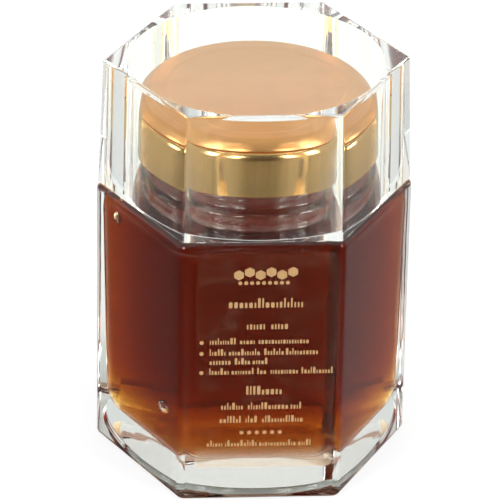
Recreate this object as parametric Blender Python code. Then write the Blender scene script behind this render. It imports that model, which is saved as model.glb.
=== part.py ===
"""Honey jar: a hexagonal glass jar filled with honey, a round gold cap, a clear
hexagonal overcap over the cap and a clear film label on the front face.

Metres, +Z up. The origin is the middle of the underside. The front face, with
the label, looks along -Y; two of the vertical corners lie on the X axis.
"""
import math

import bmesh
import bpy

MM = 0.001

# jar body
JAR_APOTHEM = 31.95 * MM        # middle of the jar to each flat face
JAR_CORNER_R = 3.0 * MM         # rounding of the vertical corners
SHOULDER_Z = 67.0 * MM          # flat ledge that the overcap stands on
SHOULDER_R = 1.4 * MM           # rounding between the faces and the ledge
HEEL_R = 1.2 * MM               # rounding between the faces and the underside
PUNT_R = 28.6 * MM              # round recess in the underside
PUNT_DEPTH = 1.7 * MM

# neck
NECK_R = 24.4 * MM
NECK_TOP_Z = 87.0 * MM
BEAD_R = 26.2 * MM              # transfer bead round the foot of the neck
BEAD_Z = 71.6 * MM
BEAD_H = 3.0 * MM
NECK_BORE_R = 21.6 * MM

# cavity, wider at the top than at the base
CAVITY_APOTHEM_TOP = 29.2 * MM
CAVITY_APOTHEM_BASE = 27.6 * MM
CAVITY_CORNER_R = 6.0 * MM
CAVITY_FLOOR_Z = 8.0 * MM
CAVITY_FILLET = 5.0 * MM
CAVITY_TOP_Z = 63.2 * MM

# honey
HONEY_GAP = 0.3 * MM
HONEY_LEVEL_Z = 84.0 * MM

# gold cap
CAP_R = 26.9 * MM
CAP_TOP_Z = 90.4 * MM
CAP_SHOULDER_R = 2.3 * MM       # soft shoulder of the satin top
CAP_BAND_R = 27.4 * MM          # polished band below the satin top
CAP_BAND_TOP_Z = 87.3 * MM
CAP_BAND_ROUND = 1.6 * MM
CAP_BOTTOM_Z = 76.8 * MM
CAP_INNER_R = 25.4 * MM
CAP_LINER_Z = 87.6 * MM

# clear overcap, a hexagonal block that leans in towards the top, hollow from below
SLEEVE_R_TOP = 35.17 * MM       # to the sharp corners
SLEEVE_R_BASE = 36.5 * MM
SLEEVE_BASE_Z = 67.3 * MM
SLEEVE_TOP_Z = 98.5 * MM
SLEEVE_BORE_R = 29.6 * MM
SLEEVE_ROOF = 1.5 * MM          # clear plate that closes the bore at the top
SLEEVE_EDGE = 0.3 * MM

# label film on the front face
LABEL_HALF_W = 15.9 * MM
LABEL_SHIFT = 0.95 * MM         # it sits a little to the right
LABEL_Z0 = 8.9 * MM
LABEL_Z1 = 65.0 * MM
LABEL_R = 1.6 * MM
LABEL_T = 0.2 * MM
LABEL_GAP = 0.25 * MM

SECTOR = 6                      # points in each sixth of a turned or hexagonal ring
CAP_STEPS = 48
BORE_STEPS = 72


def clear_scene():
    for obj in list(bpy.data.objects):
        bpy.data.objects.remove(obj)


def principled(name, color, roughness, metallic=0.0, transmission=0.0, ior=1.5, alpha=1.0):
    mat = bpy.data.materials.new(name)
    mat.use_nodes = True
    shader = mat.node_tree.nodes["Principled BSDF"]
    shader.inputs["Base Color"].default_value = (*color, 1.0)
    shader.inputs["Roughness"].default_value = roughness
    shader.inputs["Metallic"].default_value = metallic
    shader.inputs["Transmission Weight"].default_value = transmission
    shader.inputs["IOR"].default_value = ior
    shader.inputs["Alpha"].default_value = alpha
    mat.diffuse_color = (*color, alpha)
    return mat


def add_object(name, bm, mat, smooth_deg=30.0):
    bmesh.ops.recalc_face_normals(bm, faces=bm.faces[:])
    mesh = bpy.data.meshes.new(name)
    bm.to_mesh(mesh)
    bm.free()
    mesh.materials.append(mat)
    mesh.shade_smooth()
    mesh.set_sharp_from_angle(angle=math.radians(smooth_deg))
    obj = bpy.data.objects.new(name, mesh)
    bpy.context.collection.objects.link(obj)
    return obj


def hex_ring(apothem, corner_r, z):
    """A hexagon with rounded corners: in each sixth, a corner arc and the middle of a flat."""
    points = []
    centre = apothem / math.cos(math.pi / 6) - corner_r / math.cos(math.pi / 6)
    arc_points = SECTOR - 1
    for k in range(6):
        corner = math.radians(60 * k)
        cx, cy = centre * math.cos(corner), centre * math.sin(corner)
        for i in range(arc_points):
            a = corner + math.radians(-30 + 60 * i / (arc_points - 1))
            points.append((cx + corner_r * math.cos(a), cy + corner_r * math.sin(a), z))
        mid = corner + math.radians(30)
        points.append((apothem * math.cos(mid), apothem * math.sin(mid), z))
    return points


def round_ring(radius, z):
    """A circle with its points at the same bearings as those of hex_ring."""
    count = 6 * SECTOR
    bearings = [2 * math.pi * (i - SECTOR // 2 + 1) / count for i in range(count)]
    return [(radius * math.cos(a), radius * math.sin(a), z) for a in bearings]


def quarter(start, end, convex_out, steps=3):
    """Profile points of a quarter round between two (radius, z) points, ends left out.

    convex_out puts the bulge on the side of the end point's radius."""
    (r0, z0), (r1, z1) = start, end
    out = []
    for i in range(1, steps):
        t = math.pi / 2 * i / steps
        if convex_out:
            out.append((r0 + (r1 - r0) * math.sin(t), z1 + (z0 - z1) * math.cos(t)))
        else:
            out.append((r1 + (r0 - r1) * math.cos(t), z0 + (z1 - z0) * math.sin(t)))
    return out


def loft(rings, close_start=True, close_end=True):
    """Skins a stack of rings that have equal point counts; the ends close in fans."""
    bm = bmesh.new()
    loops = [[bm.verts.new(p) for p in ring] for ring in rings]
    count = len(loops[0])
    for lower, upper in zip(loops, loops[1:]):
        for i in range(count):
            j = (i + 1) % count
            bm.faces.new((lower[i], lower[j], upper[j], upper[i]))
    for loop, closed in ((loops[0], close_start), (loops[-1], close_end)):
        if closed:
            mid = bm.verts.new((0.0, 0.0, loop[0].co.z))
            for i in range(count):
                bm.faces.new((loop[i], loop[(i + 1) % count], mid))
    return bm


def jar():
    a, c = JAR_APOTHEM, JAR_CORNER_R
    rings = []
    # underside recess, from its middle out to the flat rim it stands on
    rings.append(round_ring(PUNT_R * 0.55, PUNT_DEPTH))
    rings.append(round_ring(PUNT_R - 2.2 * MM, PUNT_DEPTH))
    rings.append(round_ring(PUNT_R - 0.8 * MM, PUNT_DEPTH * 0.7))
    rings.append(round_ring(PUNT_R, 0.0))
    rings.append(hex_ring(a - HEEL_R, c - HEEL_R * 0.5, 0.0))
    for inset, z in quarter((a - HEEL_R, 0.0), (a, HEEL_R), True):
        rings.append(hex_ring(inset, c - (a - inset) * 0.5, z))
    # faces and shoulder
    rings.append(hex_ring(a, c, HEEL_R))
    rings.append(hex_ring(a, c, SHOULDER_Z - SHOULDER_R))
    for inset, z in quarter((a, SHOULDER_Z - SHOULDER_R), (a - SHOULDER_R, SHOULDER_Z), False):
        rings.append(hex_ring(inset, c - (a - inset) * 0.5, z))
    rings.append(hex_ring(a - SHOULDER_R, c - SHOULDER_R * 0.5, SHOULDER_Z))
    # neck with its bead
    rings.append(round_ring(NECK_R + 0.6 * MM, SHOULDER_Z))
    rings.append(round_ring(NECK_R, SHOULDER_Z + 0.8 * MM))
    rings.append(round_ring(NECK_R, BEAD_Z - BEAD_H / 2))
    rings.append(round_ring(BEAD_R - 0.5 * MM, BEAD_Z - BEAD_H / 2 + 0.7 * MM))
    rings.append(round_ring(BEAD_R, BEAD_Z))
    rings.append(round_ring(BEAD_R - 0.5 * MM, BEAD_Z + BEAD_H / 2 - 0.7 * MM))
    rings.append(round_ring(NECK_R, BEAD_Z + BEAD_H / 2))
    rings.append(round_ring(NECK_R, NECK_TOP_Z - 0.8 * MM))
    rings.append(round_ring(NECK_R - 0.8 * MM, NECK_TOP_Z))
    rings.append(round_ring(NECK_BORE_R + 0.6 * MM, NECK_TOP_Z))
    rings.append(round_ring(NECK_BORE_R, NECK_TOP_Z - 0.6 * MM))
    for ring in cavity_rings(0.0):
        rings.append(ring)
    return add_object("glass_jar", loft(rings), principled(
        "clear_glass", (0.93, 0.98, 0.95), 0.02, transmission=1.0, ior=1.5, alpha=0.35), 25.0)


def cavity_rings(gap):
    """Rings of the hollow from the foot of the neck's bore to the floor, shrunk by gap."""
    top, base, c = CAVITY_APOTHEM_TOP - gap, CAVITY_APOTHEM_BASE - gap, CAVITY_CORNER_R - gap * 0.5
    floor, lid = CAVITY_FLOOR_Z + gap, CAVITY_TOP_Z - gap
    shoulder = 3.0 * MM
    rings = [round_ring(NECK_BORE_R - gap, lid + 1.2 * MM)]
    rings.append(round_ring(NECK_BORE_R - gap + 0.8 * MM, lid))
    rings.append(hex_ring(top - shoulder, c, lid))
    for r, z in reversed(quarter((top, lid - shoulder), (top - shoulder, lid), False)):
        rings.append(hex_ring(r, c + (top - r) * 0.3, z))
    rings.append(hex_ring(top, c, lid - shoulder))
    rings.append(hex_ring(base, c, floor + CAVITY_FILLET))
    for r, z in reversed(quarter((base - CAVITY_FILLET, floor), (base, floor + CAVITY_FILLET), True, 4)):
        rings.append(hex_ring(r, c - (base - r) * 0.25, z))
    rings.append(hex_ring(base - CAVITY_FILLET, c - CAVITY_FILLET * 0.25, floor))
    return rings


def honey():
    rings = [round_ring(NECK_BORE_R - HONEY_GAP, HONEY_LEVEL_Z)]
    rings += cavity_rings(HONEY_GAP)
    return add_object("honey", loft(rings), principled(
        "honey", (0.55, 0.16, 0.02), 0.05, transmission=0.6, ior=1.49), 25.0)


def gold_cap():
    profile = [(CAP_INNER_R, CAP_BOTTOM_Z), (CAP_BAND_R - 0.2 * MM, CAP_BOTTOM_Z),
               (CAP_BAND_R, CAP_BOTTOM_Z + 0.3 * MM), (CAP_BAND_R, CAP_BAND_TOP_Z - CAP_BAND_ROUND)]
    profile += quarter(profile[-1], (CAP_R - 0.3 * MM, CAP_BAND_TOP_Z), False, 4)
    profile += [(CAP_R - 0.3 * MM, CAP_BAND_TOP_Z), (CAP_R, CAP_BAND_TOP_Z + 0.3 * MM),
                (CAP_R, CAP_TOP_Z - CAP_SHOULDER_R)]
    profile += quarter(profile[-1], (CAP_R - CAP_SHOULDER_R, CAP_TOP_Z), False, 4)
    profile += [(CAP_R - CAP_SHOULDER_R, CAP_TOP_Z), (0.0, CAP_TOP_Z)]
    bm = bmesh.new()
    outline = profile + [(0.0, CAP_LINER_Z), (CAP_INNER_R - 0.4 * MM, CAP_LINER_Z),
                         (CAP_INNER_R, CAP_LINER_Z - 0.4 * MM)]
    verts = [bm.verts.new((r, 0.0, z)) for r, z in outline]
    for i, vert in enumerate(verts):
        nxt = verts[(i + 1) % len(verts)]
        if vert.co.x > 0.0 or nxt.co.x > 0.0:
            bm.edges.new((vert, nxt))
    bmesh.ops.spin(bm, geom=bm.verts[:] + bm.edges[:], cent=(0, 0, 0), axis=(0, 0, 1),
                   angle=2 * math.pi, steps=CAP_STEPS, use_duplicate=False)
    bmesh.ops.remove_doubles(bm, verts=bm.verts[:], dist=0.00002)
    return add_object("gold_cap", bm, principled("gold", (0.69, 0.42, 0.2), 0.3, metallic=1.0), 35.0)


def clear_sleeve():
    bm = bmesh.new()
    rings = []
    for radius, z in ((SLEEVE_R_BASE, SLEEVE_BASE_Z), (SLEEVE_R_TOP, SLEEVE_TOP_Z)):
        rings.append([bm.verts.new((radius * math.cos(math.radians(60 * k)),
                                    radius * math.sin(math.radians(60 * k)), z)) for k in range(6)])
    for k in range(6):
        j = (k + 1) % 6
        bm.faces.new((rings[0][k], rings[0][j], rings[1][j], rings[1][k]))
    bm.faces.new(rings[0])
    bm.faces.new(rings[1])
    bmesh.ops.recalc_face_normals(bm, faces=bm.faces[:])
    bmesh.ops.bevel(bm, geom=bm.edges[:], offset=SLEEVE_EDGE, segments=1, profile=0.5,
                    affect='EDGES', material=-1)
    sleeve = add_object("clear_sleeve", bm, principled(
        "clear_acrylic", (0.98, 0.99, 0.99), 0.02, transmission=1.0, ior=1.49, alpha=0.35), 20.0)

    below, ceiling = SLEEVE_BASE_Z - 4 * MM, SLEEVE_TOP_Z - SLEEVE_ROOF
    bore = bmesh.new()
    bmesh.ops.create_cone(bore, cap_ends=True, segments=BORE_STEPS, radius1=SLEEVE_BORE_R,
                          radius2=SLEEVE_BORE_R, depth=ceiling - below)
    bmesh.ops.translate(bore, verts=bore.verts[:], vec=(0, 0, (ceiling + below) / 2))
    cutter = add_object("bore_cutter", bore, sleeve.data.materials[0])
    cutter.hide_render = True
    cutter.display_type = 'WIRE'
    cut = sleeve.modifiers.new("bore", 'BOOLEAN')
    cut.operation = 'DIFFERENCE'
    cut.solver = 'EXACT'
    cut.object = cutter
    return sleeve


def label_film():
    bm = bmesh.new()
    outline = []
    for cx, cz, start in ((LABEL_HALF_W - LABEL_R, LABEL_Z0 + LABEL_R, -90),
                          (LABEL_HALF_W - LABEL_R, LABEL_Z1 - LABEL_R, 0),
                          (-LABEL_HALF_W + LABEL_R, LABEL_Z1 - LABEL_R, 90),
                          (-LABEL_HALF_W + LABEL_R, LABEL_Z0 + LABEL_R, 180)):
        for i in range(5):
            a = math.radians(start + 90 * i / 4)
            outline.append((LABEL_SHIFT + cx + LABEL_R * math.cos(a), cz + LABEL_R * math.sin(a)))
    back = -JAR_APOTHEM - LABEL_GAP
    face = bm.faces.new([bm.verts.new((x, back, z)) for x, z in outline])
    grown = bmesh.ops.extrude_face_region(bm, geom=[face])
    moved = [g for g in grown["geom"] if isinstance(g, bmesh.types.BMVert)]
    bmesh.ops.translate(bm, verts=moved, vec=(0, -LABEL_T, 0))
    return add_object("label_film", bm, principled(
        "printed_film", (0.62, 0.45, 0.27), 0.4, alpha=0.35), 40.0)


def main():
    clear_scene()
    root = bpy.data.objects.new("honey_jar", None)
    bpy.context.collection.objects.link(root)
    for obj in (jar(), honey(), gold_cap(), clear_sleeve(), label_film()):
        obj.parent = root


main()
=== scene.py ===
"""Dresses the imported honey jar: glass, honey, gold lid, clear overcap, film label, and the studio round it."""

import math
import random

import bmesh
import bpy
from bpy.props import FloatProperty, FloatVectorProperty, PointerProperty
from bpy.types import Operator, Panel, PropertyGroup
from mathutils import Matrix, Vector


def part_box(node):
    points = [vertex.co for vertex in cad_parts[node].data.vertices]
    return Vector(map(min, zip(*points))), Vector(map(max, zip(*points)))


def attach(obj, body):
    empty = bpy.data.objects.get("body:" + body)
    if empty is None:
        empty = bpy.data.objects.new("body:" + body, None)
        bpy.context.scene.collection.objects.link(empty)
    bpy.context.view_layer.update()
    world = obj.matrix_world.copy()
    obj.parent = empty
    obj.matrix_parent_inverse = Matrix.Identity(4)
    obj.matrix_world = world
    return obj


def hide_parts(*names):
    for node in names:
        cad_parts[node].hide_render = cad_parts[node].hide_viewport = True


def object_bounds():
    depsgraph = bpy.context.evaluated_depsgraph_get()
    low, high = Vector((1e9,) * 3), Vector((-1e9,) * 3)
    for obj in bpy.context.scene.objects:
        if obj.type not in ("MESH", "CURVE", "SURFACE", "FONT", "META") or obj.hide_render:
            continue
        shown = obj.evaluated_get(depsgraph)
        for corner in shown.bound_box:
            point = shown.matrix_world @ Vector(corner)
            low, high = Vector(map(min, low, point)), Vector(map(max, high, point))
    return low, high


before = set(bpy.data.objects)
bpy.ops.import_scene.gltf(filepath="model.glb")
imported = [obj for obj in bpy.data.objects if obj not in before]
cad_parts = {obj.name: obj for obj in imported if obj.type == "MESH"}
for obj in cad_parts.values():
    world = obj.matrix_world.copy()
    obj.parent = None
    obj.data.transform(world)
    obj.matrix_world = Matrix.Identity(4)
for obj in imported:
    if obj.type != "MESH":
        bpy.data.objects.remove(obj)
CAD_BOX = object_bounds()

bl_info = {
    "name": "Honey jar",
    "version": (1, 0, 0),
    "blender": (4, 5, 0),
    "location": "3D View > Sidebar > Honey jar",
    "description": "Builds a hexagonal glass jar of honey with a gold lid, a clear overcap and a film label",
    "category": "Add Mesh",
}

MM = 0.001
COS30 = math.cos(math.radians(30))
TAN30 = math.tan(math.radians(30))
WHITE = (1.0, 1.0, 1.0)
BLACK = (0.0, 0.0, 0.0)

# faces in one turn of a round shape
NECK_STEPS = 144
LID_STEPS = 160
BORE_STEPS = 192

# the glass of the hollow's floor bends light a little more, so that the thick base carries light along
FLOOR_BEND = 1.62

# a ray that has gone through more surfaces than this has been through the honey
THROUGH_HONEY = 4.5

jar_low, jar_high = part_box("glass_jar")
lid_low, lid_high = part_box("gold_cap")
sleeve_low, sleeve_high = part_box("clear_sleeve")
film_low, film_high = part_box("label_film")


# ---------------------------------------------------------------- sizes and colours

def length(name, description, default, low=0.0, high=0.2):
    return FloatProperty(name=name, description=description, default=default, min=low, max=high,
                         precision=5, unit='LENGTH')


def tint(name, description, default):
    return FloatVectorProperty(name=name, description=description, default=default, size=3,
                               min=0.0, max=1.0, subtype='COLOR')


class JarSizes(PropertyGroup):
    face: length("Face distance", "From the middle of the jar to each flat face", jar_high.y)
    corner: length("Corner rounding", "Radius of the six upright corners", 2.2 * MM)
    shoulder: length("Shoulder height", "Height of the ledge under the overcap", 67.0 * MM)
    shoulder_round: length("Shoulder rounding", "Radius between faces and ledge", 1.4 * MM)
    heel_round: length("Heel rounding", "Radius between faces and underside", 1.5 * MM)
    punt: length("Punt radius", "Radius of the recess in the underside", 28.6 * MM)
    punt_depth: length("Punt depth", "Depth of the recess in the underside", 1.7 * MM)
    neck: length("Neck radius", "Outside radius of the neck", 24.4 * MM)
    neck_top: length("Neck top", "Height of the mouth", 87.0 * MM)
    bead: length("Bead radius", "Outside radius of the bead at the neck's foot", 26.2 * MM)
    bore: length("Mouth radius", "Inside radius of the neck", 21.6 * MM)
    hollow_top: length("Hollow, top", "Middle to the inside face, at the shoulder", 29.2 * MM)
    hollow_base: length("Hollow, base", "Middle to the inside face, at the floor", 27.6 * MM)
    hollow_corner: length("Hollow corners", "Radius of the inside corners", 6.0 * MM)
    hollow_floor: length("Floor height", "Height of the floor of the hollow", 8.0 * MM)
    hollow_fillet: length("Floor rounding", "Radius round the floor of the hollow", 7.5 * MM)
    hollow_lid: length("Hollow lid", "Height where the hollow turns in to the neck", 63.2 * MM)
    # painted reflection: the heel's dark red-brown glass colour stands in for the honey above reflected in the
    # heel; the heel glass itself is clear
    heel_painted_reflection: tint("Heel painted reflection", "Colour that the honey above lends to the glass of the heel", (0.34, 0.15, 0.09))
    glass_tint: tint("Glass tint", "Colour that white light takes on in one wall", (0.93, 0.985, 0.945))


class HoneySizes(PropertyGroup):
    overlap: length("Reach into the wall", "How far the honey goes into the glass", 0.06 * MM)
    level: length("Level", "Height of the honey in the neck", 84.0 * MM)
    colour: tint("Colour", "What white light turns to in the honey", (0.804, 0.617, 0.20))
    glow: tint("Glow", "Colour of the honey's fine haze", (0.50, 0.07, 0.025))
    density: FloatProperty(name="Density", description="Strength of the honey's colour per metre",
                           default=300.0, min=0.0, max=2000.0)


class LidSizes(PropertyGroup):
    radius: length("Lid radius", "Radius of the satin top", 26.7 * MM)
    top: length("Lid height", "Height of the flat top", lid_high.z)
    flat: length("Flat radius", "Radius where the satin top starts to slope", 24.4 * MM)
    slope: length("Slope drop", "How far the slope falls to the band", 2.1 * MM)
    panel: length("Panel ring", "Radius of the faint ring in the top", 20.8 * MM)
    band: length("Band radius", "Radius of the polished band", lid_high.x)
    band_top: length("Band top", "Height where the band meets the satin top", 88.15 * MM)
    band_round: length("Band rounding", "Radius of the band's upper edge", 2.2 * MM)
    bottom: length("Band bottom", "Height of the lower edge", lid_low.z)
    inner: length("Inside radius", "Inside radius of the band", 25.4 * MM)
    liner: length("Liner height", "Height of the lid's inside", 87.6 * MM)
    satin: tint("Satin gold", "Colour of the satin top", (0.86, 0.42, 0.16))
    polished: tint("Polished gold", "Colour of the band", (0.66, 0.40, 0.16))


class SleeveSizes(PropertyGroup):
    corner_low: length("Lower corners", "Middle to the corners at the base", sleeve_high.x)
    corner_high: length("Upper corners", "Middle to the corners at the rim", 35.17 * MM)
    base: length("Base height", "Height of the lower edge", sleeve_low.z)
    rim: length("Rim height", "Height of the upper edge", sleeve_high.z)
    bore: length("Bore radius", "Radius of the round hollow", 29.5 * MM)
    roof: length("Roof thickness", "Thickness of the clear top", 1.5 * MM)
    rim_round: length("Rim rounding", "Radius of the edges round the top", 1.0 * MM)
    corner_round: length("Corner rounding", "Radius of the upright corners", 0.6 * MM)
    edge: length("Edge", "Width of the edges at the foot", 0.3 * MM)
    round: length("Hollow edge", "Width of the edges of the hollow", 0.15 * MM)
    tint: tint("Tint", "Colour that white light takes on in one wall", (0.94, 0.985, 0.95))


class LabelSizes(PropertyGroup):
    width: length("Width", "Width of the film", 31.8 * MM)
    low: length("Lower edge", "Height of the film's lower edge", film_low.z + 0.2 * MM)
    high: length("Upper edge", "Height of the film's upper edge", film_high.z)
    corner: length("Corners", "Radius of the film's corners", 1.6 * MM)
    shift: length("Shift", "How far the film sits to the right of the middle", 0.95 * MM, -0.01, 0.01)
    front: length("Front", "Distance of the film's front from the middle", -film_low.y)
    ink: tint("Print colour", "Colour of the gold print", (0.40, 0.24, 0.10))


class StageSizes(PropertyGroup):
    distance: length("Camera distance", "From the middle of the jar to the lens", 980.5 * MM, 0.1, 5.0)
    bearing: FloatProperty(name="Bearing", description="Camera bearing from the front", unit='ROTATION',
                           default=-math.radians(4.08))
    elevation: FloatProperty(name="Elevation", description="Camera height as an angle", unit='ROTATION',
                             default=0.48821)
    tilt: FloatProperty(name="Tilt", description="Roll of the camera", unit='ROTATION', default=0.01939)
    lens: FloatProperty(name="Lens", description="Focal length", unit='CAMERA', default=301.9)
    floor: tint("Floor", "Colour of the floor", (0.93, 0.93, 0.93))


# ---------------------------------------------------------------- shader recipes

class Value:
    """A socket of a recipe, used in sums as if it were a number."""

    def __init__(self, recipe, socket):
        self.recipe, self.socket = recipe, socket

    def _sum(self, operation, other=None, flipped=False):
        terms = {0: self} if other is None else ({0: other, 1: self} if flipped else {0: self, 1: other})
        return self.recipe.node("ShaderNodeMath", {"operation": operation}, terms)

    def __add__(self, other): return self._sum('ADD', other)
    def __radd__(self, other): return self._sum('ADD', other, True)
    def __sub__(self, other): return self._sum('SUBTRACT', other)
    def __rsub__(self, other): return self._sum('SUBTRACT', other, True)
    def __mul__(self, other): return self._sum('MULTIPLY', other)
    def __rmul__(self, other): return self._sum('MULTIPLY', other, True)
    def __truediv__(self, other): return self._sum('DIVIDE', other)
    def __rtruediv__(self, other): return self._sum('DIVIDE', other, True)
    def __pow__(self, other): return self._sum('POWER', other)
    def __neg__(self): return self._sum('MULTIPLY', -1.0)
    def __abs__(self): return self._sum('ABSOLUTE')
    def __gt__(self, other): return self._sum('GREATER_THAN', other)
    def __lt__(self, other): return self._sum('LESS_THAN', other)

    def ramp(self, low, high):
        """0 below low, 1 above high, smooth between them."""
        return self.recipe.node("ShaderNodeMapRange", {"interpolation_type": 'SMOOTHSTEP'},
                                {"Value": self, "From Min": low, "From Max": high})


class Recipe:
    """The node tree of a material or world, put together node by node."""

    def __init__(self, owner):
        owner.use_nodes = True
        self.owner, self.tree = owner, owner.node_tree
        self.tree.nodes.clear()

    def node(self, kind, settings=None, values=None, output=0):
        made = self.tree.nodes.new(kind)
        for key, value in (settings or {}).items():
            if key == "stops":
                for stop, (place, colour) in zip(made.color_ramp.elements, value):
                    stop.position, stop.color = place, colour
                for place, colour in value[2:]:
                    made.color_ramp.elements.new(place).color = colour
            else:
                setattr(made, key, value)
        for key, value in (values or {}).items():
            if isinstance(value, Value):
                self.tree.links.new(value.socket, made.inputs[key])
            else:
                made.inputs[key].default_value = value
        return Value(self, made.outputs[output]) if made.outputs else made

    def place(self, scale=(1.0, 1.0, 1.0), turn=(0.0, 0.0, 0.0), move=(0.0, 0.0, 0.0)):
        spot = self.node("ShaderNodeTexCoord", output=3)
        return self.node("ShaderNodeMapping", None,
                         {"Vector": spot, "Scale": scale, "Rotation": turn, "Location": move})

    def part(self, vector, which):
        """One of the three numbers of a vector."""
        return self.node("ShaderNodeSeparateXYZ", None, {0: vector}, which)

    def noise(self, where, scale, detail=3.0, rough=0.5):
        return self.node("ShaderNodeTexNoise", {"noise_dimensions": '3D'},
                         {"Vector": where, "Scale": scale, "Detail": detail, "Roughness": rough})

    def blend(self, share, first, second):
        return self.node("ShaderNodeMix", {"data_type": 'RGBA'}, {0: share, 6: first, 7: second}, 2)

    def bump(self, height, strength, distance):
        return self.node("ShaderNodeBump", None,
                         {"Height": height, "Strength": strength, "Distance": distance})

    def surface(self, shader, volume=None):
        ends = {"Surface": shader}
        if volume is not None:
            ends["Volume"] = volume
        self.node("ShaderNodeOutputMaterial", None, ends)
        return self.owner


def colour(rgb):
    return (rgb[0], rgb[1], rgb[2], 1.0)


def finish(name):
    return Recipe(bpy.data.materials.new(name))


def jar_glass(name, rgb, mirror=WHITE, bend=1.5):
    """Soda glass with the slow waves of a mould. Where honey wets it, mirror is black."""
    r = finish(name)
    wave = r.noise(r.place(), 55.0, 2.0)
    return r.surface(r.node("ShaderNodeBsdfPrincipled", None, {
        "Base Color": colour(rgb), "Roughness": 0.0, "IOR": bend, "Transmission Weight": 1.0,
        "Specular Tint": colour(mirror), "Normal": r.bump(wave, 0.25, 0.0004)}))


def honey_body(sizes):
    """Dark amber honey, coloured by its depth, with the faint glow of its fine haze."""
    r = finish("honey_body")
    drift = r.noise(r.place(scale=(1.0, 1.0, 0.4)), 40.0, 2.0)
    shader = r.node("ShaderNodeBsdfPrincipled", None, {
        "Base Color": (1, 1, 1, 1), "Roughness": 0.0, "IOR": 1.49, "Transmission Weight": 1.0,
        "Specular Tint": colour(BLACK), "Normal": r.bump(drift, 0.15, 0.0003)})
    cloudy = r.node("ShaderNodeBsdfDiffuse", None, {"Color": colour(sizes.glow), "Roughness": 1.0})
    depth = r.node("ShaderNodeVolumeAbsorption", None,
                   {"Color": colour(sizes.colour), "Density": sizes.density})
    return r.surface(r.node("ShaderNodeMixShader", None, {0: 0.09 + drift * 0.02, 1: shader, 2: cloudy}), depth)


def trapped_air():
    """The wall of an air bubble inside the honey."""
    r = finish("trapped_air")
    swirl = r.noise(r.place(), 900.0, 1.0)
    return r.surface(r.node("ShaderNodeBsdfPrincipled", None, {
        "Base Color": (1, 1, 1, 1), "Roughness": 0.0, "IOR": 0.671, "Transmission Weight": 1.0,
        "Normal": r.bump(swirl, 0.2, 0.0002)}))


def satin_gold(rgb):
    """Anodised lid metal: fine grain, a few handling smudges and paler specks."""
    r = finish("satin_gold")
    where = r.place()
    grain = r.noise(where, 9000.0, 2.0, 0.7)
    smudge = r.noise(r.place(scale=(1.0, 1.6, 1.0)), 110.0, 4.0, 0.6).ramp(0.45, 0.75)
    specks = r.noise(where, 1400.0, 0.0).ramp(0.80, 0.84)
    deep = colour([c * 0.94 for c in rgb])
    pale = colour([min(1.0, c * 0.9 + 0.12) for c in rgb])
    base = r.blend(specks * 0.8, r.blend(smudge, colour(rgb), deep), pale)
    return r.surface(r.node("ShaderNodeBsdfPrincipled", None, {
        "Base Color": base, "Metallic": 1.0, "Roughness": 0.36 + smudge * 0.06,
        "Normal": r.bump(grain, 0.10, 0.00002)}))


def polished_gold(rgb):
    """The band under the satin top: smoother, with the faint upright drag of the rolls."""
    r = finish("polished_gold")
    drag = r.noise(r.place(scale=(1.0, 1.0, 0.03)), 900.0, 3.0, 0.6)
    base = r.blend(drag.ramp(0.3, 0.7), colour([c * 0.93 for c in rgb]), colour(rgb))
    return r.surface(r.node("ShaderNodeBsdfPrincipled", None, {
        "Base Color": base, "Metallic": 1.0, "Roughness": 0.17 + drag * 0.05,
        "Normal": r.bump(drag, 0.08, 0.00003)}))


def clear_acrylic(rgb):
    """Polished acrylic with the faintest flow marks."""
    r = finish("clear_acrylic")
    flow = r.noise(r.place(scale=(1.0, 1.0, 0.5)), 70.0, 1.0)
    return r.surface(r.node("ShaderNodeBsdfPrincipled", None, {
        "Base Color": colour(rgb), "Roughness": 0.0, "IOR": 1.49, "Transmission Weight": 1.0,
        "Normal": r.bump(flow, 0.15, 0.0002)}))


def label_plastic():
    """Clear film with a light haze, cloudier in patches and along its foot."""
    r = finish("label_plastic")
    cloud = r.noise(r.place(scale=(1.0, 1.0, 1.5)), 170.0, 3.0, 0.6).ramp(0.52, 0.68)
    foot = 1.0 - r.part(r.place(), 2).ramp(8.5 * MM, 15.0 * MM)
    return r.surface(r.node("ShaderNodeBsdfPrincipled", None, {
        "Base Color": (0.72, 0.56, 0.38, 1), "Roughness": 0.45, "Alpha": 0.004 + cloud * 0.012 + foot * 0.3,
        "Normal": r.bump(cloud, 0.1, 0.00005)}))


def gold_print(rgb):
    """Printed gold ink, a little uneven."""
    r = finish("gold_print")
    patch = r.noise(r.place(), 900.0, 2.0)
    base = r.blend(patch, colour([c * 0.8 for c in rgb]), colour([min(1.0, c * 1.15) for c in rgb]))
    return r.surface(r.node("ShaderNodeBsdfPrincipled", None, {
        "Base Color": base, "Roughness": 0.5, "Metallic": 0.2,
        "Normal": r.bump(patch, 0.1, 0.00002)}))


def floor_paper(rgb):
    """Pale paper, lit from below, that mirrored rays pass by to meet the studio."""
    r = finish("floor_paper")
    tooth = r.noise(r.place(), 300.0, 3.0)
    base = r.blend(tooth, colour([c * 0.985 for c in rgb]), colour(rgb))
    paper = r.node("ShaderNodeBsdfPrincipled", None, {
        "Base Color": base, "Roughness": 0.9, "Normal": r.bump(tooth, 0.02, 0.0002)})
    glow = r.node("ShaderNodeEmission", None, {"Color": colour(WHITE), "Strength": 1.0})
    lamp = r.node("ShaderNodeEmission", None, {"Color": colour(WHITE), "Strength": 2.6})
    seen = r.node("ShaderNodeLightPath", output="Is Camera Ray")
    turns = r.node("ShaderNodeLightPath", output="Glossy Depth")
    passes = r.node("ShaderNodeLightPath", output="Transmission Depth")
    lit = r.node("ShaderNodeMixShader", None, {0: seen * 0.75, 1: paper, 2: glow})
    lit = r.node("ShaderNodeMixShader", None, {0: passes > THROUGH_HONEY, 1: lit, 2: lamp})
    return r.surface(r.node("ShaderNodeMixShader", None, {
        0: turns > 0.5, 1: lit, 2: r.node("ShaderNodeBsdfTransparent")}))


# ---------------------------------------------------------------- mesh helpers

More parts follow.
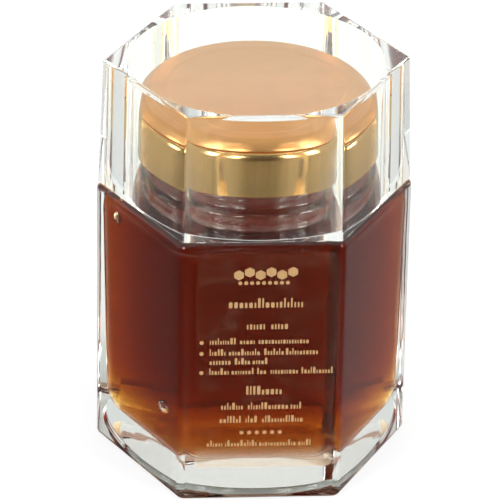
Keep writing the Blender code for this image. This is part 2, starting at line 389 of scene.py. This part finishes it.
def hexagon_block(bm, low, high, z0, z1):
    """A closed hexagonal block with corners on the X axis; low and high reach its flats."""
    made = bmesh.ops.create_cone(bm, cap_ends=True, cap_tris=False, segments=6, depth=z1 - z0,
                                 radius1=low / COS30, radius2=high / COS30)["verts"]
    bmesh.ops.rotate(bm, verts=made, cent=(0, 0, 0), matrix=Matrix.Rotation(math.radians(30), 3, 'Z'))
    bmesh.ops.translate(bm, verts=made, vec=(0, 0, (z0 + z1) / 2))
    return made


def round_edges(bm, edges, width, steps):
    bmesh.ops.bevel(bm, geom=list(edges), offset=width, offset_type='OFFSET', segments=steps,
                    profile=0.5, affect='EDGES', material=-1, clamp_overlap=True)


def uprights(verts):
    """The edges that run from a block's foot to its top."""
    edges = {e for v in verts for e in v.link_edges}
    return [e for e in edges if abs(e.verts[0].co.z - e.verts[1].co.z) > 1e-5]


def cap_at(bm, z):
    """The widest level face at a height."""
    bm.normal_update()
    level = [f for f in bm.faces if abs(f.normal.z) > 0.999
             and all(abs(v.co.z - z) < 1e-6 for v in f.verts)]
    return max(level, key=lambda f: f.calc_area())


def open_cap(bm, z):
    face = cap_at(bm, z)
    rim = list(face.edges)
    bmesh.ops.delete(bm, geom=[face], context='FACES_ONLY')
    return rim


def turned(bm, profile, steps):
    """Spins (radius, height) points once round the Z axis."""
    points = [bm.verts.new((r, 0.0, z)) for r, z in profile]
    line = [bm.edges.new(pair) for pair in zip(points, points[1:])]
    bmesh.ops.spin(bm, geom=points + line, cent=(0, 0, 0), axis=(0, 0, 1), angle=2 * math.pi,
                   steps=steps, use_merge=True, use_duplicate=False)
    on_axis = [v for v in bm.verts if math.hypot(v.co.x, v.co.y) < 1e-7]
    bmesh.ops.remove_doubles(bm, verts=on_axis, dist=1e-7)


def circle_at(bm, radius, z):
    """The edges of a turned ring."""
    def there(v):
        return abs(math.hypot(v.co.x, v.co.y) - radius) < 1e-6 and abs(v.co.z - z) < 1e-6
    return [e for e in bm.edges if there(e.verts[0]) and there(e.verts[1])]


def fill_between(bm, outer, inner):
    """A flat face between two loops at one height."""
    bmesh.ops.triangle_fill(bm, use_beauty=True, use_dissolve=False, edges=list(outer) + list(inner),
                            normal=(0, 0, 1))


def arc(centre, radius, start, end, steps):
    """(radius, height) points along an arc, angles in degrees from the outward direction."""
    r0, z0 = centre
    return [(r0 + radius * math.cos(math.radians(start + (end - start) * i / steps)),
             z0 + radius * math.sin(math.radians(start + (end - start) * i / steps)))
            for i in range(steps + 1)]


def make_piece(name, bm, *materials, flat_area=60e-6):
    """Turns a bmesh into a smooth piece whose large flats stay dead flat, riding on the body."""
    bmesh.ops.remove_doubles(bm, verts=bm.verts[:], dist=1e-7)
    bmesh.ops.recalc_face_normals(bm, faces=bm.faces[:])
    bm.normal_update()
    mesh = bpy.data.meshes.new(name)
    bm.to_mesh(mesh)
    bm.free()
    for material in materials:
        mesh.materials.append(material)
    mesh.set_sharp_from_angle(angle=math.radians(50))
    share = {}
    for face in mesh.polygons:
        key = tuple(round(n, 3) for n in face.normal)
        share[key] = share.get(key, 0.0) + face.area
    for face in mesh.polygons:
        face.use_smooth = share[tuple(round(n, 3) for n in face.normal)] < flat_area
    piece = bpy.data.objects.new(name, mesh)
    bpy.context.scene.collection.objects.link(piece)
    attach(piece, "root")
    return piece


# ---------------------------------------------------------------- pieces

def hollow(bm, jar, grow):
    """The hexagonal hollow of the jar, grown by a little, open at its top. Returns its top loop."""
    floor, lid = jar.hollow_floor - grow, jar.hollow_lid + grow
    verts = hexagon_block(bm, jar.hollow_base + grow, jar.hollow_top + grow, floor, lid)
    round_edges(bm, uprights(verts), (jar.hollow_corner + grow) * TAN30, 8)
    round_edges(bm, cap_at(bm, floor).edges, jar.hollow_fillet + grow, 8)
    round_edges(bm, cap_at(bm, lid).edges, 3.0 * MM + grow, 5)
    return open_cap(bm, lid)


def bubble(bm, place, radius, squash=(1.0, 1.0, 1.0)):
    made = bmesh.ops.create_icosphere(bm, subdivisions=3, radius=radius)["verts"]
    bmesh.ops.scale(bm, verts=made, vec=squash)
    bmesh.ops.translate(bm, verts=made, vec=place)


class MakeJar(Operator):
    """Blow the hexagonal glass jar with its neck, bead and hollow"""
    bl_idname = "honey_jar.make_jar"
    bl_label = "Glass jar"

    def execute(self, context):
        jar = context.scene.honey_jar
        bm = bmesh.new()
        verts = hexagon_block(bm, jar.face, jar.face, 0.0, jar.shoulder)
        round_edges(bm, uprights(verts), jar.corner * TAN30, 8)
        round_edges(bm, cap_at(bm, jar.shoulder).edges, jar.shoulder_round, 5)
        round_edges(bm, cap_at(bm, 0.0).edges, jar.heel_round, 5)
        ledge, foot = open_cap(bm, jar.shoulder), open_cap(bm, 0.0)

        top, mouth = hollow_profile_top(jar), jar.bore
        neck = [(jar.neck + 0.8 * MM, jar.shoulder)]
        neck += arc((jar.neck + 0.8 * MM, jar.shoulder + 0.8 * MM), 0.8 * MM, 270, 180, 4)[1:]
        for height, reach in ((71.6 * MM, jar.bead - jar.neck), (75.3 * MM, 0.55 * MM),
                              (79.2 * MM, 0.55 * MM), (83.1 * MM, 0.55 * MM)):
            half = 1.5 * MM if reach > 1.0 * MM else 0.9 * MM
            neck += [(jar.neck + reach * math.cos(math.pi / 2 * t) ** 2, height + half * t)
                     for t in (-1.0, -0.8, -0.6, -0.4, -0.2, 0.0, 0.2, 0.4, 0.6, 0.8, 1.0)]
        neck += arc((jar.neck - 0.8 * MM, jar.neck_top - 0.8 * MM), 0.8 * MM, 0, 90, 4)
        neck += arc((mouth + 0.6 * MM, jar.neck_top - 0.6 * MM), 0.6 * MM, 90, 180, 4)
        neck += top
        turned(bm, neck, NECK_STEPS)
        lid = hollow(bm, jar, 0.0)
        fill_between(bm, ledge, circle_at(bm, jar.neck + 0.8 * MM, jar.shoulder))
        fill_between(bm, lid, circle_at(bm, *top[-1]))

        edge = jar.punt + 0.9 * MM
        punt = arc((edge, 0.8 * MM), 0.8 * MM, 270, 180, 5)
        punt += [(edge - 1.0 * MM, jar.punt_depth - 0.25 * MM), (edge - 1.3 * MM, jar.punt_depth),
                 (jar.punt * 0.5, jar.punt_depth), (0.0, jar.punt_depth)]
        turned(bm, punt, NECK_STEPS)
        fill_between(bm, foot, circle_at(bm, edge, 0.0))
        piece = make_piece("jar_glass", bm, jar_glass("jar_glass", jar.glass_tint),
                           jar_glass("jar_glass_wetted", WHITE, BLACK),
                           jar_glass("jar_glass_wetted_floor", WHITE, BLACK, FLOOR_BEND),
                           # the heel material's colour is a painted reflection of the honey, not a tint of the
                           # glass
                           jar_glass("jar_glass_heel_painted_reflection", jar.heel_painted_reflection))
        for face in piece.data.polygons:
            spot = face.center
            reach = max(abs(spot.y), abs(spot.x) * COS30 + abs(spot.y) / 2)
            if jar.hollow_floor - 1e-6 < spot.z < jar.hollow_lid + 1.3 * MM and reach < jar.face - 1.5 * MM:
                face.material_index = 2 if face.normal.z > 0.97 and spot.z < jar.hollow_floor + 0.5 * MM else 1
            # faces of the heel get the glass whose colour is the painted reflection of the honey above
            elif spot.z < jar.heel_round and math.hypot(spot.x, spot.y) > jar.punt + 0.5 * MM:
                face.material_index = 3
        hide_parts("glass_jar")
        return {'FINISHED'}


def hollow_profile_top(jar, grow=0.0):
    """The mouth of the hollow: down the bore and out to the hexagonal part."""
    bore, lid = jar.bore + grow, jar.hollow_lid + grow
    return [(bore, lid + 1.2 * MM), (bore + 0.1 * MM, lid + 0.7 * MM), (bore + 0.35 * MM, lid + 0.3 * MM),
            (bore + 0.9 * MM, lid)]


class MakeHoney(Operator):
    """Pour the honey, which reaches just into the glass so that no air gap shows"""
    bl_idname = "honey_jar.make_honey"
    bl_label = "Honey"

    def execute(self, context):
        jar, honey = context.scene.honey_jar, context.scene.honey_fill
        bm = bmesh.new()
        top = hollow_profile_top(jar, honey.overlap)
        bore = jar.bore + honey.overlap
        surface = [(0.0, honey.level), (bore - 1.2 * MM, honey.level), (bore - 0.4 * MM, honey.level + 0.15 * MM),
                   (bore, honey.level + 0.5 * MM)]
        turned(bm, surface + top, NECK_STEPS)
        lid = hollow(bm, jar, honey.overlap)
        fill_between(bm, lid, circle_at(bm, *top[-1]))
        piece = make_piece("honey_body", bm, honey_body(honey))
        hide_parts("honey")
        return {'FINISHED'}


class MakeBubbles(Operator):
    """Set the air bubbles that hang in the honey"""
    bl_idname = "honey_jar.make_bubbles"
    bl_label = "Bubbles"

    def execute(self, context):
        rng = random.Random(11)
        bm = bmesh.new()
        bubble(bm, (-19.5 * MM, -22.0 * MM, 20.5 * MM), 1.9 * MM, (1.15, 1.0, 0.85))
        bubble(bm, (-29.5 * MM, -3.5 * MM, 60.4 * MM), 1.5 * MM, (0.9, 1.3, 1.0))
        for _ in range(16):
            angle, height = rng.uniform(0, 2 * math.pi), rng.uniform(14, 60) * MM
            reach = rng.uniform(17, 25) * MM
            bubble(bm, (reach * math.cos(angle), reach * math.sin(angle), height), rng.uniform(0.15, 0.4) * MM)
        piece = make_piece("honey_bubbles", bm, trapped_air())
        return {'FINISHED'}


class MakeLid(Operator):
    """Spin the gold lid: a satin top that slopes to a polished band"""
    bl_idname = "honey_jar.make_lid"
    bl_label = "Gold lid"

    def execute(self, context):
        lid = context.scene.honey_lid
        ring, top = lid.panel, lid.top
        satin = [(0.0, top - 0.12 * MM), (ring - 0.5 * MM, top - 0.12 * MM), (ring - 0.25 * MM, top - 0.09 * MM),
                 (ring, top - 0.03 * MM), (ring + 0.3 * MM, top), (lid.flat - 0.3 * MM, top)]
        run = lid.radius - lid.flat
        satin += [(lid.flat + run * t, top - lid.slope * t * (0.45 + 0.55 * t))
                  for t in (0.1, 0.25, 0.4, 0.55, 0.7, 0.85, 1.0)]
        edge = top - lid.slope
        satin += [(lid.radius + 0.02 * MM, edge - 0.08 * MM), (lid.radius - 0.06 * MM, edge - 0.16 * MM),
                  (lid.radius - 0.5 * MM, edge - 0.2 * MM), (lid.radius - 0.9 * MM, edge - 0.5 * MM),
                  (lid.radius - 0.9 * MM, lid.liner), (0.0, lid.liner)]
        bm = bmesh.new()
        turned(bm, satin, LID_STEPS)
        top_piece = make_piece("lid_satin_top", bm, satin_gold(lid.satin))
        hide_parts("gold_cap")

        turn = lid.band_round
        band = [(lid.inner, lid.liner - 0.2 * MM), (lid.radius - 0.85 * MM, lid.liner - 0.2 * MM),
                (lid.radius - 0.85 * MM, lid.band_top - 0.5 * MM)]
        band += arc((lid.band - turn, lid.band_top - turn), turn, 84, 0, 14)
        band += [(lid.band, lid.bottom + 0.4 * MM), (lid.band - 0.12 * MM, lid.bottom + 0.1 * MM),
                 (lid.band - 0.4 * MM, lid.bottom), (lid.inner + 0.2 * MM, lid.bottom),
                 (lid.inner, lid.bottom + 0.2 * MM), (lid.inner, lid.liner - 0.2 * MM)]
        bm = bmesh.new()
        turned(bm, band, LID_STEPS)
        band_piece = make_piece("lid_polished_band", bm, polished_gold(lid.polished))
        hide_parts("gold_cap")
        return {'FINISHED'}


class MakeSleeve(Operator):
    """Cut the clear hexagonal overcap with its round bore and closed top"""
    bl_idname = "honey_jar.make_sleeve"
    bl_label = "Clear overcap"

    def execute(self, context):
        sleeve = context.scene.honey_sleeve
        bm = bmesh.new()
        verts = hexagon_block(bm, sleeve.corner_low * COS30, sleeve.corner_high * COS30, sleeve.base, sleeve.rim)
        round_edges(bm, uprights(verts), sleeve.corner_round * TAN30, 4)
        round_edges(bm, cap_at(bm, sleeve.rim).edges, sleeve.rim_round, 6)
        round_edges(bm, cap_at(bm, sleeve.base).edges, sleeve.edge, 3)
        foot = open_cap(bm, sleeve.base)
        soft, bore, roof = sleeve.round, sleeve.bore, sleeve.rim - sleeve.roof
        wall = arc((bore + soft, sleeve.base + soft), soft, 270, 180, 3)
        wall += arc((bore - soft, roof - soft), soft, 0, 90, 3) + [(0.0, roof)]
        turned(bm, wall, BORE_STEPS)
        fill_between(bm, foot, circle_at(bm, bore + soft, sleeve.base))
        piece = make_piece("sleeve_acrylic", bm, clear_acrylic(sleeve.tint))
        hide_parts("clear_sleeve")
        return {'FINISHED'}


def plate(bm, x0, x1, z0, z1, front, back, corner, steps=4):
    """A rounded upright plate on the front face."""
    made = bmesh.ops.create_cube(bm, size=1.0)["verts"]
    bmesh.ops.scale(bm, verts=made, vec=(x1 - x0, front - back, z1 - z0))
    bmesh.ops.translate(bm, verts=made, vec=((x0 + x1) / 2, -(front + back) / 2, (z0 + z1) / 2))
    edges = {e for v in made for e in v.link_edges}
    corners = [e for e in edges if abs(e.verts[0].co.y - e.verts[1].co.y) > 1e-7]
    round_edges(bm, corners, corner, steps)


def cell(bm, x, z, radius, front, back, segments=6):
    """A small upright disc or hexagon on the front face."""
    made = bmesh.ops.create_cone(bm, cap_ends=True, cap_tris=False, segments=segments, depth=front - back,
                                 radius1=radius, radius2=radius)["verts"]
    bmesh.ops.rotate(bm, verts=made, cent=(0, 0, 0), matrix=Matrix.Rotation(math.radians(90), 3, 'X'))
    bmesh.ops.translate(bm, verts=made, vec=(x, -(front + back) / 2, z))


class MakeLabel(Operator):
    """Lay the clear film on the front face"""
    bl_idname = "honey_jar.make_label"
    bl_label = "Label film"

    def execute(self, context):
        label, jar = context.scene.honey_label, context.scene.honey_jar
        bm = bmesh.new()
        plate(bm, label.shift - label.width / 2, label.shift + label.width / 2, label.low, label.high,
              label.front - 0.05 * MM, jar.face - 0.02 * MM, label.corner, 6)
        piece = make_piece("label_film_sheet", bm, label_plastic())
        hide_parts("label_film")
        return {'FINISHED'}


# rows of the label: foot of the marks, mark height, left edge, width of each group (millimetres)
ROWS = (
    (51.1, 2.6, -7.6, (17.2,)),
    (45.5, 2.3, -3.4, (4.4, 3.4)),
    (41.7, 1.75, -11.8, (6.0, 3.4, 11.6)),
    (38.8, 1.75, -11.8, (3.5, 7.2, 4.1, 7.3)),
    (36.4, 1.75, -11.8, (4.9, 3.2, 3.0)),
    (33.8, 1.75, -11.8, (4.2, 5.0, 2.2, 6.2, 7.4)),
    (28.4, 2.4, -3.3, (8.2,)),
    (24.5, 1.9, -9.0, (5.2, 8.9, 2.6)),
    (21.0, 1.9, -9.3, (5.0, 2.9, 9.0)),
    (14.7, 1.7, -12.2, (3.4, 7.0, 8.2, 3.0)),
)


class MakePrint(Operator):
    """Print the label's generic gold marks: honeycomb cells, bars and dots"""
    bl_idname = "honey_jar.make_print"
    bl_label = "Label print"

    def execute(self, context):
        label = context.scene.honey_label
        rng = random.Random(5)
        front, back = label.front, label.front - 0.08 * MM
        bm = bmesh.new()
        for i in range(6):
            cell(bm, (-5.4 + 2.45 * i) * MM, (59.9 + (0.35 if i % 2 else -0.35)) * MM, 1.28 * MM, front, back)
        for i in range(9):
            cell(bm, (-5.1 + 1.35 * i) * MM, 57.5 * MM, 0.5 * MM, front, back)
        for foot, tall, left, groups in ROWS:
            x = left
            for width in groups:
                end = x + width
                while x < end:
                    wide = tall * rng.choice((0.15, 0.22, 0.32))
                    rise = tall * rng.choice((0.52, 0.52, 0.58, 0.95))
                    plate(bm, x * MM, (x + wide) * MM, foot * MM, (foot + rise) * MM, front, back,
                          wide * 0.3 * MM, 2)
                    x += wide + tall * 0.15
                x = end + tall * 0.5
        for z in (42.2, 39.3, 34.3):
            cell(bm, -13.65 * MM, z * MM, 0.5 * MM, front, back, 14)
        for i in range(6):
            cell(bm, (-4.2 + 1.77 * i) * MM, 18.35 * MM, 0.5 * MM, front, back, 14)
        piece = make_piece("label_marks", bm, gold_print(label.ink))
        return {'FINISHED'}


# ---------------------------------------------------------------- stage

def studio_world():
    """White behind and beside the jar, dark in front of and below it, as in a product tent."""
    world = bpy.data.worlds.new("studio")
    r = Recipe(world)
    way = r.node("ShaderNodeTexCoord", output=0)
    x, y, z = (r.part(way, i) for i in range(3))
    seen, turns, passes = (r.node("ShaderNodeLightPath", output=name)
                           for name in ("Is Camera Ray", "Glossy Depth", "Transmission Depth"))
    behind, above, low = y.ramp(-0.30, 0.20), z.ramp(0.84, 0.99), 1.0 - z.ramp(-0.15, 0.0)
    studio = behind + (1.0 - behind) * above
    table = 0.10 + x.ramp(0.2, 0.8) * 0.25 + y.ramp(0.45, 0.9)
    outside = 0.03 + 0.82 * (studio * (1.0 - low) + table * behind * low)
    side = abs(x).ramp(0.25, 0.85)
    lit = studio + (1.0 - studio) * side
    inside = 0.06 + 0.38 * (1.0 - z.ramp(-0.42, 0.05))
    inside = inside + lit * (0.87 - inside)
    mirrored = outside + (passes > 0.5) * (inside - outside)
    mirrored = mirrored + (turns > 1.5) * (1.05 - mirrored)
    straight = 1.0 + (passes > THROUGH_HONEY) * 2.2
    level = straight + (turns > 0.5) * (mirrored * straight - straight)
    level = seen + (1.0 - seen) * level
    glow = r.node("ShaderNodeBackground", None, {"Color": colour(WHITE), "Strength": level})
    r.node("ShaderNodeOutputWorld", None, {"Surface": glow})
    return world


def softbox(name, place, target, size, power):
    light = bpy.data.lights.new(name, 'AREA')
    light.shape, light.size, light.size_y, light.energy = 'RECTANGLE', size[0], size[1], power
    lamp = bpy.data.objects.new(name, light)
    bpy.context.scene.collection.objects.link(lamp)
    away = Vector(target) - Vector(place)
    lamp.matrix_world = Matrix.Translation(place) @ away.to_track_quat('-Z', 'Y').to_matrix().to_4x4()
    return lamp


class MakeStage(Operator):
    """Put down the floor, the lights, the world and the camera"""
    bl_idname = "honey_jar.make_stage"
    bl_label = "Stage"

    def execute(self, context):
        scene, stage = context.scene, context.scene.honey_stage
        bm = bmesh.new()
        bmesh.ops.create_circle(bm, cap_ends=True, segments=96, radius=3.0)
        mesh = bpy.data.meshes.new("floor")
        bm.to_mesh(mesh)
        bm.free()
        mesh.materials.append(floor_paper(stage.floor))
        floor = bpy.data.objects.new("floor", mesh)
        scene.collection.objects.link(floor)
        floor.visible_glossy = False

        scene.world = studio_world()
        middle = (0.0, 0.0, 0.05)
        softbox("softbox_left", (-0.55, -0.55, 0.55), middle, (0.30, 0.45), 5.0)
        softbox("softbox_right", (0.60, -0.50, 0.50), middle, (0.30, 0.45), 5.0)

        lens = bpy.data.cameras.new("camera")
        camera = bpy.data.objects.new("camera", lens)
        scene.collection.objects.link(camera)
        lens.lens, lens.sensor_width = stage.lens, 36.0
        lens.clip_start, lens.clip_end = 0.01, 50.0
        lens.shift_x, lens.shift_y = -0.00648, -0.0039
        target = Vector((0.0, 0.0, CAD_BOX[1].z / 2))
        out = Vector((math.sin(stage.bearing) * math.cos(stage.elevation),
                      -math.cos(stage.bearing) * math.cos(stage.elevation), math.sin(stage.elevation)))
        place = target + out * stage.distance
        aim = (target - place).to_track_quat('-Z', 'Y').to_matrix().to_4x4()
        camera.matrix_world = Matrix.Translation(place) @ aim @ Matrix.Rotation(stage.tilt, 4, 'Z')
        scene.camera = camera

        scene.view_settings.view_transform = 'Standard'
        scene.cycles.max_bounces = 96
        scene.cycles.transmission_bounces = 96
        scene.cycles.glossy_bounces = 96
        scene.cycles.transparent_max_bounces = 16
        return {'FINISHED'}


# ---------------------------------------------------------------- add-on

PIECES = (MakeJar, MakeHoney, MakeBubbles, MakeLid, MakeSleeve, MakeLabel, MakePrint, MakeStage)
GROUPS = {"honey_jar": JarSizes, "honey_fill": HoneySizes, "honey_lid": LidSizes,
          "honey_sleeve": SleeveSizes, "honey_label": LabelSizes, "honey_stage": StageSizes}


class HoneyJarPanel(Panel):
    bl_idname = "VIEW3D_PT_honey_jar"
    bl_label = "Honey jar"
    bl_space_type = 'VIEW_3D'
    bl_region_type = 'UI'
    bl_category = "Honey jar"

    def draw(self, context):
        for piece in PIECES:
            self.layout.operator(piece.bl_idname)
        for attribute, group in GROUPS.items():
            box = self.layout.box()
            for prop in group.__annotations__:
                box.prop(getattr(context.scene, attribute), prop)


def register():
    for group in GROUPS.values():
        bpy.utils.register_class(group)
    for attribute, group in GROUPS.items():
        setattr(bpy.types.Scene, attribute, PointerProperty(type=group))
    for piece in PIECES:
        bpy.utils.register_class(piece)
    bpy.utils.register_class(HoneyJarPanel)


def unregister():
    bpy.utils.unregister_class(HoneyJarPanel)
    for piece in reversed(PIECES):
        bpy.utils.unregister_class(piece)
    for attribute, group in GROUPS.items():
        delattr(bpy.types.Scene, attribute)
        bpy.utils.unregister_class(group)


def main():
    register()
    ops = bpy.ops.honey_jar
    for make in (ops.make_jar, ops.make_honey, ops.make_bubbles, ops.make_lid, ops.make_sleeve,
                 ops.make_label, ops.make_print, ops.make_stage):
        make()


if __name__ == "__main__":
    main()
